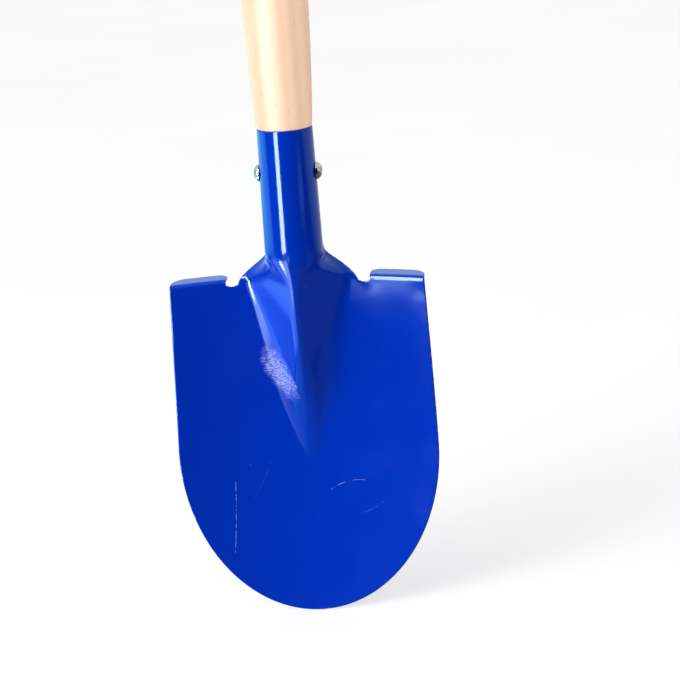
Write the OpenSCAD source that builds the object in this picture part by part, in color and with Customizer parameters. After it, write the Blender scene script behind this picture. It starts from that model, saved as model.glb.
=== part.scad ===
// Child's sand shovel: a head pressed from one steel sheet, riveted to a turned
// wooden handle with a cross grip. It stands on its tip, with its front towards -Y.

/* [Blade] */
// Width of the blade at its widest
blade_w = 118; // [100:1:140]
// Height of the foot treads above the tip
blade_h = 155; // [146:1:180]
// Height of the rounded lower part, from the tip to the widest place
point_h = 76.5; // [60:0.5:90]
// How much each side draws in from the widest place up to the treads
side_taper = 3; // [0:0.5:6]
// Hollow of the blade, from its middle to its side edges
dish_d = 10.5; // [5:0.5:14]
// How far the middle of the blade lies behind the handle's axis
blade_set = 6.5; // [4:0.5:8]
// How far the tip bends forward
tip_forward = 19; // [8:1:24]
// Height at which the forward bend of the tip begins
bend_h = 112; // [90:1:130]
// Thickness of the steel sheet
sheet_t = 1.2; // [0.8:0.1:1.8]

/* [Foot treads] */
// Depth of the treads, from the front of the blade to their back edge
tread_d = 10; // [8:0.5:13]
// Radius of the fold between blade and tread, in the middle of the sheet
fold_r = 1.5; // [1.2:0.1:2.4]
// Radius of the back corners of the treads
tread_corner_r = 4.5; // [2:0.5:6]

/* [Neck and socket] */
// Outer diameter of the socket at its rim
socket_d = 23.8; // [22:0.1:26]
// Outer diameter of the socket where it runs into the blade
socket_low_d = 25.6; // [25:0.1:28]
// Height of the rim above the treads
socket_h = 67.5; // [60:0.5:90]
// Gap of the seam at the back of the rim
seam_gap = 1.6; // [1:0.1:3]
// Half of the angle that the socket wraps above the neck
neck_wrap = 100; // [92:1:125]
// Height over which the neck spreads from the socket to the blade
neck_h = 23.5; // [18:0.5:28]
// Width of the neck between the notches
neck_w = 53.6; // [50:0.1:58]
// Width of the notches between neck and treads
notch_w = 5.2; // [3.5:0.1:8]
// Depth of the rounded notch bottoms below the neck's foot
notch_d = 0.8; // [0.4:0.1:2]
// Straight height between the neck's foot and the folds of the treads
neck_drop = 0.3; // [0.2:0.1:2]
// Length of the raised frog below the socket
frog_l = 99; // [80:1:110]
// Radius of the hollow along the frog's foot at the socket
frog_foot_r = 15; // [10:0.5:18]
// Mean radius of the frog's section towards its lower end
frog_low_r = 7.5; // [6:0.5:9]
// Length of the bend from the socket's front line into the frog's
frog_bend = 12; // [6:1:20]
// Height at which the frog fades into the blade
frog_fade = 0.7; // [0.5:0.1:3]
// Radius of the frog's ridge between its two flat flanks
ridge_r = 3.2; // [2.4:0.1:6]
// Length over which the ridge tightens below the socket
ridge_l = 16; // [12:1:30]
// Length of the flat flanks below the neck
flank_l = 41; // [32:1:48]
// How far the flanks reach up into the neck beside the ridge
flank_rise = 14; // [8:1:15]
// Radius of the hollow along the flanks' feet at the neck
flank_foot_r = 6.5; // [4:0.5:9]
// Mean radius of the frog's low tongue
tongue_r = 14; // [10:0.5:18]
// Length over which the frog flattens to its tongue
tongue_l = 48; // [36:1:56]
// How far above the flanks' lower ends the flattening starts
tongue_start = 14; // [8:1:20]

/* [Handle] */
// Diameter of the shaft
shaft_d = 28; // [26:0.5:32]
// Length over which the shaft draws in to the socket
taper_l = 65; // [40:1:90]
// Length of the tenon inside the socket
tenon_l = 52; // [40:1:56]
// Diameter of the tenon's lower end
tenon_low_d = 19.6; // [17:0.1:20]
// Height of the top of the grip above the tip
total_h = 665; // [500:5:850]

/* [Cross grip] */
// Diameter of the grip bar
grip_d = 30; // [28.5:0.5:34]
// Length of the grip bar
grip_l = 112; // [90:1:130]
// Depth of the shaft's seat below the middle of the bar
seat_drop = 8; // [5:0.5:10]
// Diameter of the shaft's tenon through the bar
grip_tenon_d = 18; // [14:0.5:20]
// Diameter of the dowel that locks the tenon
dowel_d = 6; // [4:0.5:8]

/* [Rivet] */
// Diameter of the rivet's shank
rivet_d = 4.2; // [3:0.1:5]
// Diameter of the rivet's heads
rivet_head_d = 7.5; // [6.5:0.1:9]
// Height of the rivet's heads
rivet_head_h = 2.6; // [1.6:0.1:3.2]
// Distance of the rivet below the rim
rivet_drop = 19.4; // [14:0.1:26]

/* [Hidden] */
$fn = 96;

// Clearances, and the overrun of every cut
fit_gap = 0.1;
tenon_gap = 0.15;
cut_over = 1;
// Chamfer of the tenon's lower end, and rounding of the grip bar's ends
tenon_chamfer = 1.5;
grip_edge_r = 5;

// Cells of the sheet: across the neck, a notch and a wing, and along each part
neck_cells = 16;
notch_cells = 3;
wing_cells = 8;
blade_rows = 28;
flare_rows = 9;
socket_rows = 9;
fold_rows = 4;
ledge_rows = 4;
// Steps of the turned outlines
taper_steps = 12;
dome_steps = 8;
edge_steps = 8;

// Powers that crowd the rows at the tip, draw in the sides, hold the notch to the last rows
// and fade out the flat strip along the neck's edge
tip_row_power = 1.5;
side_power = 1.2;
notch_power = 14;
neck_flat_power = 2.75;
// Share of the neck's height at which the frog starts, and of its height kept on the tongue
frog_start_share = 0.68;
tongue_share = 0.36;
// Short step across the sheet, for its slope
slope_step_share = 0.01;
slope_step = slope_step_share * sheet_t;

// Levels and shapes that follow from the sizes above
half_w = blade_w / 2;
dish = dish_d / half_w ^ 2;
bend = tip_forward / bend_h ^ 2;
tip_z = sheet_t / 2 * sin(atan(2 * tip_forward / bend_h));
tread_z = tip_z + blade_h;
fold_z = tread_z - sheet_t / 2 - fold_r;
foot_z = fold_z - neck_drop;
neck_z = foot_z + neck_h;
rim_z = tread_z + socket_h;
tread_x = neck_w / 2 + notch_w;
rivet_z = rim_z - rivet_drop;
rim_r = (socket_d - sheet_t) / 2;
low_r = (socket_low_d - sheet_t) / 2;
frog_z = foot_z + frog_start_share * neck_h;
flank_end_z = foot_z - flank_l;
tongue_z = frog_z - frog_l;
frog_slope = (blade_y(tongue_z) + low_r) / frog_l;
rim_wrap = 180 - asin(seam_gap / 2 / rim_r);

function arc_length(r, angle) = r * angle * PI / 180;
function arc_angle(r, length) = length / r * 180 / PI;
function mix(a, b, t) = a + (b - a) * t;
function within_unit(t) = max(0, min(1, t));
function smooth(t) = t * t * (3 - 2 * t);
// Rises from zero to x over a rounded bend of half-width k
function soft_rise(x, k) = x <= -k ? 0 : x >= k ? x : (x + k) ^ 2 / (4 * k);
function unit(v) = v / norm(v);

// Side view of the blade's middle line, without the frog
function blade_y(z) = blade_set - bend * max(0, tip_z + bend_h - z) ^ 2;
// Half-width of the blade at a level
function half_width(z) =
    let(rise = z - tip_z - point_h, side_h = blade_h - point_h)
    rise > 0 ? half_w - side_taper * (rise / side_h) ^ side_power
    : half_w * sqrt(max(0, 1 - (rise / point_h) ^ 2));
// Radius of the socket and of the frog's crest, in the middle of the sheet
function crest_r(z) = mix(low_r, rim_r, within_unit((z - frog_z) / (rim_z - frog_z)));
// Front line of the sheet, down the socket and along the frog
function crest_y(z) = -crest_r(z) + frog_slope * soft_rise(frog_z - z, frog_bend / 2);
// Runs from 0 on the frog's low tongue to 1 above it
function above_tongue(z) = smooth(within_unit(1 - (flank_end_z + tongue_start - z) / tongue_l));
// Height of the frog over the blade
function frog_h(z) =
    soft_rise(blade_y(z) - crest_y(z), frog_fade) * mix(tongue_share, 1, above_tongue(z));

// Radii of the frog's crest and foot, and their sum if no flank lay between them
function frog_radii(z) =
    let(
        share = within_unit(1 - (frog_z - z) / frog_l),
        round_r = mix(2 * tongue_r, mix(2 * frog_low_r, crest_r(z) + frog_foot_r, share), above_tongue(z)),
        ridge = mix(crest_r(z), ridge_r, smooth(within_unit((frog_z - z) / ridge_l))),
        crest = mix(tongue_r, ridge, above_tongue(z)),
        foot = mix(flank_foot_r, round_r - crest, within_unit((foot_z - z) / flank_l)),
        on_neck = smooth(within_unit((z - foot_z) / (frog_z - foot_z)))
    )
    [crest, mix(foot, frog_foot_r, on_neck), round_r];

// The frog's crest radius, slope and length of its flat flanks, and foot radius
function frog_shape(z) =
    let(
        radii = frog_radii(z),
        both = radii[0] + radii[1],
        h = frog_h(z),
        half_width = sqrt(max(0, 2 * radii[2] * h - h ^ 2)),
        lean = asin(min(1, both / norm([half_width, h - both]))),
        phi = max(0, lean + atan2(h - both, half_width))
    )
    [radii[0], phi, max(0, (half_width - both * sin(phi)) / cos(phi)), radii[1]];

// A level's section: crest radius, its half angle, flank, foot radius, slope of the wing.
// The spread runs from 0 on the blade to 1 on the socket.
function section(z, spread) =
    spread >= 1 ? [crest_r(z), 180, 0, 0, 180]
    : let(t = smooth(spread), fade = sqrt(1 - t), frog = frog_shape(z))
    [frog[0], mix(frog[1], neck_wrap, t), fade * frog[2], fade * frog[3], neck_wrap * t];

// Point of a section at a length from its crest: sideways, and back from the crest
function section_point(shape, length) =
    let(
        r1 = shape[0], phi = shape[1], flank = shape[2], r2 = shape[3], beta = shape[4],
        s = abs(length),
        s1 = arc_length(r1, phi),
        s2 = s1 + flank,
        s3 = s2 + arc_length(r2, phi - beta),
        crest = min(phi, arc_angle(r1, s)),
        flat = max(0, min(flank, s - s1)),
        foot = s < s2 ? phi : s < s3 ? phi - arc_angle(r2, s - s2) : beta,
        run = max(0, s - s3),
        x = r1 * sin(crest) + flat * cos(phi) + r2 * (sin(phi) - sin(foot)) + run * cos(beta),
        back = r1 * (1 - cos(crest)) + flat * sin(phi) + r2 * (cos(foot) - cos(phi)) + run * sin(beta)
    )
    [sign(length) * x, back];

// Length of a blade section from its crest out to a half-width
function section_length(z, x) =
    let(
        shape = section(z, 0), r1 = shape[0], phi = shape[1], flank = shape[2], r2 = shape[3],
        s1 = arc_length(r1, phi),
        crest_x = r1 * sin(phi),
        flank_x = crest_x + flank * cos(phi),
        foot_x = flank_x + r2 * sin(phi)
    )
    x < crest_x ? arc_length(r1, asin(x / r1))
    : x < flank_x ? s1 + (x - crest_x) / cos(phi)
    : x < foot_x ? s1 + flank + arc_length(r2, phi - asin((foot_x - x) / r2))
    : s1 + flank + arc_length(r2, phi) + x - foot_x;

// How far the neck has closed at a level, later towards the crest than at the edge
function spread_at(z, share = 1) =
    let(rise = flank_rise * (1 - share))
    within_unit((z - foot_z - rise) / (neck_h - rise));
// Point in the middle of the sheet at a level and a length from the crest
function sheet_point(z, length, on_neck) =
    let(
        spread = on_neck ? spread_at(z, min(1, abs(length) / edge_length(z))) : 0,
        p = section_point(section(z, spread), length),
        back = crest_y(z) + p[1] + (blade_y(z) - crest_y(z) - frog_h(z)) * (1 - smooth(spread))
    )
    [p[0], back - dish * (1 - smooth(spread)) * p[0] ^ 2, z];

// Free edge of the neck and socket, as a length from the crest
neck_edge = section_length(foot_z, neck_w / 2);
foot_shape = frog_shape(foot_z);
neck_flat = neck_edge - arc_length(foot_shape[0] + foot_shape[3], foot_shape[1]) - foot_shape[2];
function edge_length(z) =
    let(
        spread = spread_at(z),
        shape = section(z, spread),
        rise = within_unit((z - neck_z) / (rim_z - neck_z)),
        wrap = mix(neck_wrap, rim_wrap, 1 - (1 - rise) ^ 2)
    )
    spread >= 1 ? arc_length(crest_r(z), wrap)
    : arc_length(shape[0], shape[1]) + shape[2] + arc_length(shape[3], shape[1] - shape[4])
        + neck_flat * (1 - spread) ^ neck_flat_power;

// Columns of cells, as shares of the blade section's length from -1 to 1
blade_edge = section_length(foot_z, half_width(foot_z));
neck_share = neck_edge / blade_edge;
notch_share = section_length(foot_z, tread_x) / blade_edge;
side_cells = neck_cells + notch_cells + wing_cells;
columns = 2 * side_cells;
function side_share(k) =
    k <= neck_cells ? neck_share * k / neck_cells
    : k <= neck_cells + notch_cells ? mix(neck_share, notch_share, (k - neck_cells) / notch_cells)
    : mix(notch_share, 1, (k - neck_cells - notch_cells) / wing_cells);
function side_of(j) = j - side_cells;
function column_share(j) = sign(side_of(j)) * side_share(abs(side_of(j)));
function on_neck(j) = abs(side_of(j)) <= neck_cells;
// How deep a column dips into the notch
function notch_dip(j) =
    notch_d * sin(180 * within_unit((abs(side_of(j)) - neck_cells) / notch_cells));

// A tread: its lengths along the fold and the ledge, and its point at such a length
fold_l = arc_length(fold_r, 90);
ledge_l = tread_d - fold_r - sheet_t / 2;
function tread_path(k) =
    k <= fold_rows ? fold_l * k / fold_rows
    : fold_l + ledge_l * (1 - (1 - (k - fold_rows) / ledge_rows) ^ 2);
function tread_inset(length) =
    let(past = length - fold_l - ledge_l + tread_corner_r)
    past <= 0 ? 0 : tread_corner_r - sqrt(max(0, tread_corner_r ^ 2 - past ^ 2));
function tread_point(x, length) =
    let(a = arc_angle(fold_r, min(fold_l, max(0, length))), ledge = max(0, length - fold_l))
    [
        x,
        blade_set - dish * x ^ 2 + fold_r * (1 - cos(a)) + ledge,
        fold_z + fold_r * sin(a) + min(0, length)
    ];
// A column's place along the tread, drawn in at the rounded corners
function tread_place(j, length) =
    let(
        edge = section_length(fold_z, half_width(fold_z)),
        x = section_point(section(fold_z, 0), column_share(j) * edge)[0],
        outer = half_width(fold_z),
        inset = tread_inset(length),
        share = (abs(x) - tread_x) / (outer - tread_x)
    )
    sign(x) * mix(tread_x + inset, outer - inset, share);

// Middle of the sheet at row i and column j, moved by small steps across and along
function middle(i, j, across = 0, along = 0) =
    i <= blade_rows ?
        let(
            level = (i / blade_rows) ^ tip_row_power,
            z = mix(tip_z, foot_z, level) - notch_dip(j) * level ^ notch_power,
            edge = section_length(z, half_width(z))
        )
        sheet_point(z + along, column_share(j) * edge + across, false)
    : on_neck(j) ?
        let(
            k = i - blade_rows,
            z = k <= flare_rows ? mix(foot_z, neck_z, k / flare_rows)
                : mix(neck_z, rim_z, (k - flare_rows) / socket_rows)
        )
        sheet_point(z + along, side_of(j) / neck_cells * edge_length(z) + across, true)
    : let(length = tread_path(i - blade_rows - 1))
        tread_point(tread_place(j, length) + across, length + along);

// Forward-facing normal of the sheet
function normal(i, j) =
    let(
        across = middle(i, j, slope_step) - middle(i, j, -slope_step),
        along = middle(i, j, 0, slope_step) - middle(i, j, 0, -slope_step)
    )
    unit(cross(across, along));

// The tip is one point, and each later row has a point a column.
// Wing columns end with the treads, so their last rows repeat and stay unused.
neck_rows = flare_rows + socket_rows;
tread_rows = fold_rows + ledge_rows + 1;
last_row = blade_rows + max(neck_rows, tread_rows);
function on_notch(j) = !on_neck(j) && abs(side_of(j)) < neck_cells + notch_cells;
function rows_of(j) = blade_rows + (on_neck(j) ? neck_rows : on_notch(j) ? 0 : tread_rows);
function index(i, j) = i == 0 ? 0 : 1 + (i - 1) * (columns + 1) + j;
layer = index(last_row, columns) + 1;
function cell_rows(j) = j < 0 || j >= columns ? 0 : min(rows_of(j), rows_of(j + 1));
function has_cell(i, j) = i >= 0 && i < cell_rows(j);

function sheet_layer(side) = [
    middle(0, side_cells) + side * sheet_t / 2 * normal(0, side_cells),
    for (i = [1:last_row], j = [0:columns])
        let(row = min(i, rows_of(j)))
        middle(row, j) + side * sheet_t / 2 * normal(row, j)
];

// Two triangles of a cell, split along the frog's foot on each side, or one at the tip
function cell_faces(i, j) =
    let(a = index(i, j), b = index(i, j + 1), c = index(i + 1, j + 1), d = index(i + 1, j))
    i == 0 ? [[a, d, c]]
    : j < side_cells ? [[a, d, b], [b, d, c]]
    : [[a, c, b], [a, d, c]];
function turned(faces) = [for (f = faces) [f[2] + layer, f[1] + layer, f[0] + layer]];
function wall(a, b) = [[a, b, b + layer], [a, b + layer, a + layer]];
function cell_walls(i, j) = concat(
    has_cell(i, j - 1) ? [] : wall(index(i + 1, j), index(i, j)),
    has_cell(i, j + 1) ? [] : wall(index(i, j + 1), index(i + 1, j + 1)),
    has_cell(i + 1, j) ? [] : wall(index(i + 1, j + 1), index(i + 1, j))
);
sheet_faces = [
    for (j = [0:columns - 1], i = [0:cell_rows(j) - 1])
        let(front = cell_faces(i, j))
        each concat(front, turned(front), cell_walls(i, j))
];

module shovel_head() {
    color("#0b35c4")
    difference() {
        polyhedron(points = concat(sheet_layer(1), sheet_layer(-1)), faces = sheet_faces);
        across_rivet() cylinder(d = rivet_d + 2 * fit_gap, h = 2 * (socket_low_d + cut_over), center = true);
    }
}

module across_rivet() {
    translate([0, 0, rivet_z]) rotate([0, 90, 0]) children();
}

// Handle: outline of the shaft and its tenon, turned about the axis
shoulder_z = rim_z + fit_gap;
tenon_z = rim_z - tenon_l;
tenon_r = socket_d / 2 - sheet_t - tenon_gap;
grip_z = total_h - grip_d / 2;
seat_z = grip_z - seat_drop;
// Point of the taper at a share of its length above the shoulder
function taper_point(t) = [mix(shaft_d / 2, socket_d / 2, (1 - t) ^ 2), shoulder_z + taper_l * t];

module handle_shaft() {
    color("#f3d9b5")
    difference() {
        union() {
            rotate_extrude() polygon(concat(
                [[0, tenon_z], [tenon_low_d / 2 - tenon_chamfer, tenon_z]],
                [[tenon_low_d / 2, tenon_z + tenon_chamfer], [tenon_r, shoulder_z]],
                [for (k = [0:taper_steps]) taper_point(k / taper_steps)],
                [[shaft_d / 2, seat_z], [0, seat_z]]
            ));
            intersection() {
                translate([0, 0, seat_z - cut_over]) cylinder(d = grip_tenon_d, h = seat_drop + grip_d);
                across_grip() cylinder(d = grip_d, h = grip_l, center = true);
            }
        }
        across_rivet() cylinder(d = rivet_d + 2 * fit_gap, h = 2 * socket_low_d, center = true);
        across_dowel() cylinder(d = dowel_d + 2 * fit_gap, h = 2 * grip_d, center = true);
    }
}

// Rivet: a shank with a domed head at each end, turned about its own axis
head_seat = crest_r(rivet_z) + sheet_t / 2 + fit_gap / 2;
module cross_rivet() {
    color("#b9b4ab")
    across_rivet() rotate_extrude() polygon(concat(
        [for (k = [0:dome_steps]) dome(90 * k / dome_steps, 1)],
        [[rivet_d / 2, head_seat], [rivet_d / 2, -head_seat]],
        [for (k = [dome_steps:-1:0]) dome(90 * k / dome_steps, -1)]
    ));
}
// Point of a head's dome, from its middle at 0 degrees out to its edge at 90
function dome(a, side) = [rivet_head_d / 2 * sin(a), side * (head_seat + rivet_head_h * cos(a))];

module across_grip() {
    translate([0, 0, grip_z]) rotate([0, 90, 0]) children();
}

module across_dowel() {
    translate([0, 0, grip_z]) rotate([90, 0, 0]) children();
}

// Grip bar: a turned bar with rounded ends, saddled over the shaft
module grip_bar() {
    color("#f3d9b5")
    difference() {
        across_grip() rotate_extrude() polygon(concat(
            [[0, -grip_l / 2]],
            [for (k = [0:edge_steps]) round_edge(90 * k / edge_steps, -1)],
            [for (k = [edge_steps:-1:0]) round_edge(90 * k / edge_steps, 1)],
            [[0, grip_l / 2]]
        ));
        translate([0, 0, seat_z - grip_d]) cylinder(d = shaft_d + 2 * fit_gap, h = grip_d + fit_gap);
        translate([0, 0, seat_z]) cylinder(d = grip_tenon_d + 2 * fit_gap, h = 2 * grip_d);
        across_dowel() cylinder(d = dowel_d + 2 * fit_gap, h = 2 * grip_d, center = true);
    }
}
function round_edge(a, side) = [
    grip_d / 2 - grip_edge_r * (1 - sin(a)),
    side * (grip_l / 2 - grip_edge_r * (1 - cos(a)))
];

// Dowel: cut off flush with the grip's round surface
module grip_dowel() {
    color("#e3bd8c")
    intersection() {
        across_dowel() cylinder(d = dowel_d, h = 2 * grip_d, center = true);
        across_grip() cylinder(d = grip_d, h = grip_l, center = true);
    }
}

shovel_head();
handle_shaft();
cross_rivet();
grip_bar();
grip_dowel();
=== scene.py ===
import math

import bpy
import numpy as np
from mathutils import Matrix, Vector, kdtree


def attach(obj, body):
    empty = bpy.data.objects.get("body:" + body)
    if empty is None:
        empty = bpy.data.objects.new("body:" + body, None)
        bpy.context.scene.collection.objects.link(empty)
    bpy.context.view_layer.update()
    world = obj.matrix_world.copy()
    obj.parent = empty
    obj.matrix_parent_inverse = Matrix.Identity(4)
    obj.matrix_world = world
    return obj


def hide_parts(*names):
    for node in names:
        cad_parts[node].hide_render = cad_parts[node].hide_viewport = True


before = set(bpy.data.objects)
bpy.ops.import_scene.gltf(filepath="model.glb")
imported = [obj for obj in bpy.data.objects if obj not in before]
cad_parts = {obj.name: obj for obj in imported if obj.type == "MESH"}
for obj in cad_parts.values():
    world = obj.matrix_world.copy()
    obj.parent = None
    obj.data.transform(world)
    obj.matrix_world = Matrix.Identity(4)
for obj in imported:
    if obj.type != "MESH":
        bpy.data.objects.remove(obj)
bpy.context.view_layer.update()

# Sizes of the object in millimetres, as in the solids. A mesh is made in
# millimetres and scaled to metres when it is built.
MM = 0.001
BLADE_W, BLADE_H, POINT_H, SIDE_TAPER = 118, 155, 76.5, 3
DISH_D, BLADE_SET, TIP_FORWARD, BEND_H, SHEET_T = 10.5, 6.5, 19, 112, 1.2
TREAD_D, FOLD_R, TREAD_CORNER_R = 10, 1.5, 4.5
SOCKET_D, SOCKET_LOW_D, SOCKET_H, SEAM_GAP = 23.8, 25.6, 67.5, 1.6
NECK_WRAP, NECK_H, NECK_W = math.radians(100), 23.5, 53.6
NOTCH_W, NOTCH_D, NECK_DROP = 5.2, 0.8, 0.3
FROG_L, FROG_FOOT_R, FROG_BEND, FROG_FADE, FROG_LOW_R = 99, 15, 12, 0.7, 7.5
RIDGE_R, RIDGE_L, FLANK_FOOT_R, FLANK_L, FLANK_RISE = 3.2, 16, 6.5, 41, 14
TONGUE_R, TONGUE_L, TONGUE_START, TONGUE_SHARE = 14, 48, 14, 0.36
SIDE_POWER, NOTCH_POWER, NECK_FLAT_POWER, FROG_START_SHARE = 1.2, 14, 2.75, 0.68
SHAFT_D, TAPER_L, TENON_L, TENON_LOW_D, TOTAL_H = 28, 65, 52, 19.6, 665
GRIP_D, GRIP_L, SEAT_DROP, GRIP_TENON_D, DOWEL_D, GRIP_EDGE_R = 30, 112, 8, 18, 6, 5
RIVET_D, RIVET_HEAD_D, RIVET_HEAD_H, RIVET_DROP = 4.2, 7.5, 2.6, 19.4
FIT_GAP, TENON_GAP, TENON_CHAMFER, CUT_OVER = 0.1, 0.15, 1.5, 1

# Places and radii that follow from the sizes
HALF_W = BLADE_W / 2
DISH = DISH_D / HALF_W ** 2
BEND = TIP_FORWARD / BEND_H ** 2
TIP_Z = SHEET_T / 2 * math.sin(math.atan(2 * TIP_FORWARD / BEND_H))
TREAD_Z = TIP_Z + BLADE_H
FOLD_Z = TREAD_Z - SHEET_T / 2 - FOLD_R
FOOT_Z = FOLD_Z - NECK_DROP
NECK_Z = FOOT_Z + NECK_H
RIM_Z = TREAD_Z + SOCKET_H
WIDE_Z = TIP_Z + POINT_H
TREAD_X = NECK_W / 2 + NOTCH_W
RIM_R = (SOCKET_D - SHEET_T) / 2
LOW_R = (SOCKET_LOW_D - SHEET_T) / 2
FROG_Z = FOOT_Z + FROG_START_SHARE * NECK_H
FLANK_END_Z = FOOT_Z - FLANK_L
RIM_WRAP = math.pi - math.asin(SEAM_GAP / 2 / RIM_R)
FOLD_L = FOLD_R * math.pi / 2
LEDGE_L = TREAD_D - FOLD_R - SHEET_T / 2
RIVET_Z = RIM_Z - RIVET_DROP
GRIP_Z = TOTAL_H - GRIP_D / 2
SEAT_Z = GRIP_Z - SEAT_DROP

# Cells of the sheet: across the neck, a notch and a wing, and along each part
NECK_CELLS, NOTCH_CELLS, WING_CELLS = 52, 14, 30
SIDE_CELLS = NECK_CELLS + NOTCH_CELLS + WING_CELLS
UPPER_ROWS, POLAR_STEPS, FLARE_ROWS, SOCKET_ROWS = 64, 150, 34, 34
FOLD_ROWS, LEDGE_ROWS = 8, 12
SLOPE_STEP = 0.01
SHEET_EDGE_R, SHEET_EDGE_STEPS, SHADING_WEIGHT = 0.38, 3, 70
TURNED_SIDES, SMALL_HOLE_SIDES, RIVET_SIDES, RIVET_STEPS = 160, 64, 96, 24
TAPER_STEPS, SHAFT_STEPS, GRIP_STEPS, GRIP_END_STEPS, GRIP_EDGE_STEPS = 40, 39, 60, 4, 12
SHOULDER_R, SHOULDER_STEPS, SHOULDER_H = 0.35, 4, 0.5
TENON_STEP, POCKET_STEP = 0.01, 0.001

# Camera of the photograph: focal length in pixels of a 680 pixel frame, the
# angles it looks along, its roll, and its place
FRAME_PIXELS, FOCAL_PIXELS, SENSOR_MM = 680, 1500, 36
CAMERA_YAW, CAMERA_PITCH, CAMERA_ROLL = math.radians(6), math.radians(18.195), math.radians(-3.97)
CAMERA_PLACE = Vector((83.3, -627.2, 333.9)) * MM


def make_camera():
    data = bpy.data.cameras.new("camera")
    data.sensor_width = SENSOR_MM
    data.lens = FOCAL_PIXELS / FRAME_PIXELS * SENSOR_MM
    data.clip_start = 0.01
    data.clip_end = 50
    camera = bpy.data.objects.new("camera", data)
    bpy.context.scene.collection.objects.link(camera)
    ahead = Vector((
        -math.sin(CAMERA_YAW) * math.cos(CAMERA_PITCH),
        math.cos(CAMERA_YAW) * math.cos(CAMERA_PITCH),
        -math.sin(CAMERA_PITCH),
    ))
    level = Vector((math.cos(CAMERA_YAW), math.sin(CAMERA_YAW), 0))
    above = level.cross(ahead)
    right = math.cos(CAMERA_ROLL) * level + math.sin(CAMERA_ROLL) * above
    up = right.cross(ahead)
    turn = Matrix((right, up, -ahead)).transposed().to_4x4()
    camera.matrix_world = Matrix.Translation(CAMERA_PLACE) @ turn
    bpy.context.scene.camera = camera


# Shape of the steel sheet. The functions work on arrays of levels and lengths.
def mix(a, b, t):
    return a + (b - a) * t


def smooth(t):
    return t * t * (3 - 2 * t)


def soft_rise(x, k):
    return np.where(x <= -k, 0, np.where(x >= k, x, (x + k) ** 2 / (4 * k)))


def blade_y(z):
    return BLADE_SET - BEND * np.maximum(0, TIP_Z + BEND_H - z) ** 2


FROG_SLOPE = (blade_y(FROG_Z - FROG_L) + LOW_R) / FROG_L


def half_width(z):
    rise = np.maximum(0, z - WIDE_Z)
    return HALF_W - SIDE_TAPER * (rise / (BLADE_H - POINT_H)) ** SIDE_POWER


def crest_r(z):
    return mix(LOW_R, RIM_R, np.clip((z - FROG_Z) / (RIM_Z - FROG_Z), 0, 1))


def crest_y(z):
    return FROG_SLOPE * soft_rise(FROG_Z - z, FROG_BEND / 2) - crest_r(z)


def above_tongue(z):
    """Runs from 0 on the low tongue of the frog to 1 where its flanks end."""
    return smooth(np.clip(1 - (FLANK_END_Z + TONGUE_START - z) / TONGUE_L, 0, 1))


def frog_h(z):
    return soft_rise(blade_y(z) - crest_y(z), FROG_FADE) * mix(TONGUE_SHARE, 1, above_tongue(z))


def frog_radii(z):
    """Radii of the frog's crest and foot, and their sum if no flank were between them."""
    share = np.clip(1 - (FROG_Z - z) / FROG_L, 0, 1)
    round_r = mix(2 * FROG_LOW_R, crest_r(z) + FROG_FOOT_R, share)
    round_r = mix(2 * TONGUE_R, round_r, above_tongue(z))
    ridge_r = mix(crest_r(z), RIDGE_R, smooth(np.clip((FROG_Z - z) / RIDGE_L, 0, 1)))
    ridge_r = mix(TONGUE_R, ridge_r, above_tongue(z))
    foot_r = mix(FLANK_FOOT_R, round_r - ridge_r, np.clip((FOOT_Z - z) / FLANK_L, 0, 1))
    foot_r = mix(foot_r, FROG_FOOT_R, smooth(np.clip((z - FOOT_Z) / (FROG_Z - FOOT_Z), 0, 1)))
    return ridge_r, foot_r, round_r


def frog_shape(z):
    """Crest radius, slope and length of the flat flanks, and foot radius of the frog."""
    ridge_r, foot_r, round_r = frog_radii(z)
    h = frog_h(z)
    half_w = np.sqrt(np.maximum(0, 2 * round_r * h - h * h))
    both = ridge_r + foot_r
    lean = np.arcsin(np.minimum(1, both / np.hypot(half_w, h - both)))
    phi = np.maximum(0, lean + np.arctan2(h - both, half_w))
    flank = np.maximum(0, (half_w - both * np.sin(phi)) / np.cos(phi))
    return ridge_r, phi, flank, foot_r


def section(z, spread):
    """Crest radius, its half angle, flank, foot radius and wing slope of a level's section."""
    t = smooth(spread)
    tube = spread >= 1
    ridge_r, frog_phi, frog_flank, frog_foot_r = frog_shape(z)
    phi = np.where(tube, np.pi, mix(frog_phi, NECK_WRAP, t))
    flank = np.where(tube, 0, frog_flank * np.sqrt(1 - t))
    foot_r = np.where(tube, 0, frog_foot_r * np.sqrt(1 - t))
    return ridge_r, phi, flank, foot_r, np.where(tube, np.pi, NECK_WRAP * t)


def section_point(shape, length):
    """Sideways place, and how far back from the crest, at a length along a section."""
    r1, phi, flank, r2, beta = shape
    s = np.abs(length)
    s1 = r1 * phi
    s2 = s1 + flank
    s3 = s2 + r2 * (phi - beta)
    on_crest = np.minimum(s / r1, phi)
    on_flank = np.clip(s - s1, 0, flank)
    on_foot = np.maximum(beta, phi - np.maximum(0, s - s2) / np.where(r2 > 0, r2, 1))
    on_foot = np.where(s < s2, phi, np.where(s < s3, on_foot, beta))
    run = np.maximum(0, s - s3)
    x = r1 * np.sin(on_crest) + on_flank * np.cos(phi)
    x = x + r2 * (np.sin(phi) - np.sin(on_foot)) + run * np.cos(beta)
    back = r1 * (1 - np.cos(on_crest)) + on_flank * np.sin(phi)
    back = back + r2 * (np.cos(on_foot) - np.cos(phi)) + run * np.sin(beta)
    return np.sign(length) * x, back


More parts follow.
